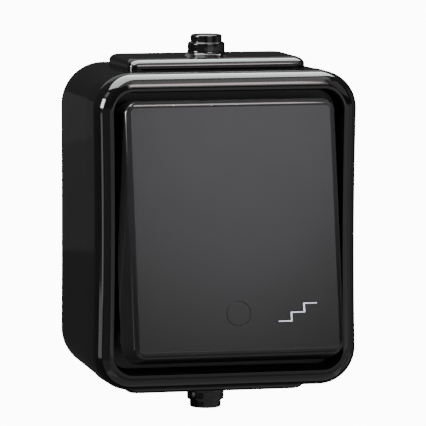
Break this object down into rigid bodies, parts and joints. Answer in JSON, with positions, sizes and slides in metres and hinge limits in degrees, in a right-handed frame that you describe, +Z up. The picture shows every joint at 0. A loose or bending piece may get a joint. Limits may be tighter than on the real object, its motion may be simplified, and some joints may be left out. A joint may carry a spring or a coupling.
{
  "type": "outdoor weatherproof rocker switch",
  "caption": "Black surface-mounted weatherproof two-way rocker switch with a deep box, beaded cover frame and closed cable nipples above and below.",
  "frame": {"origin": "centre of the rear mounting face, in the wall plane", "axes": "+X to the right seen from the front, +Y into the wall, +Z up along the wall; the rocker faces -Y"},
  "size_m": [0.066, 0.0566, 0.093],
  "materials": {
    "housing_gloss": "gloss black",
    "entry_gloss": "gloss black",
    "rocker_satin": "satin anthracite",
    "plug_satin": "satin anthracite",
    "seal_rubber": "matt",
    "insert_plastic": "light grey moulding",
    "cradle_plastic": "off-white moulding",
    "screw_steel": "zinc plated",
    "contact_brass": "bright",
    "contact_silver": "silver contact alloy"
  },
  "bodies": {
    "housing": {"base_box": "housing_gloss", "cover_frame": "housing_gloss", "top_cable_entry": "entry_gloss", "bottom_cable_entry": "entry_gloss", "cover_gasket": "seal_rubber", "insert_gasket": "seal_rubber", "cover_screws": "screw_steel", "insert_screws": "screw_steel", "insert_socket": "insert_plastic", "insert_cover": "insert_plastic", "insert_rivets": "contact_brass", "upper_contact": "contact_brass", "lower_contact": "contact_brass", "common_contact": "contact_brass", "fixed_contact_tips": "contact_silver", "terminal_clamps": "screw_steel", "terminal_screws": "screw_steel"},
    "rocker_unit": {"rocker": "rocker_satin", "lamp_window_plug": "plug_satin", "cradle": "cradle_plastic", "plunger": "cradle_plastic", "plunger_spring": "screw_steel"},
    "seesaw": {"contact_seesaw": "contact_brass", "moving_contact_tips": "contact_silver"}
  },
  "joints": [
    {"name": "rocker_tilt", "type": "hinge", "parent": "housing", "child": "rocker_unit", "pos_m": [0, -0.042, 0], "axis": [1, 0, 0], "range_deg": [0, 20.2]},
    {"name": "contact_flip", "type": "hinge", "parent": "housing", "child": "seesaw", "pos_m": [0, -0.02425, 0], "axis": [1, 0, 0], "range_deg": [-10, 0]}
  ],
  "couplings": [
    {"joint": "contact_flip", "follows": "rocker_tilt", "ratio": -0.49505}
  ]
}
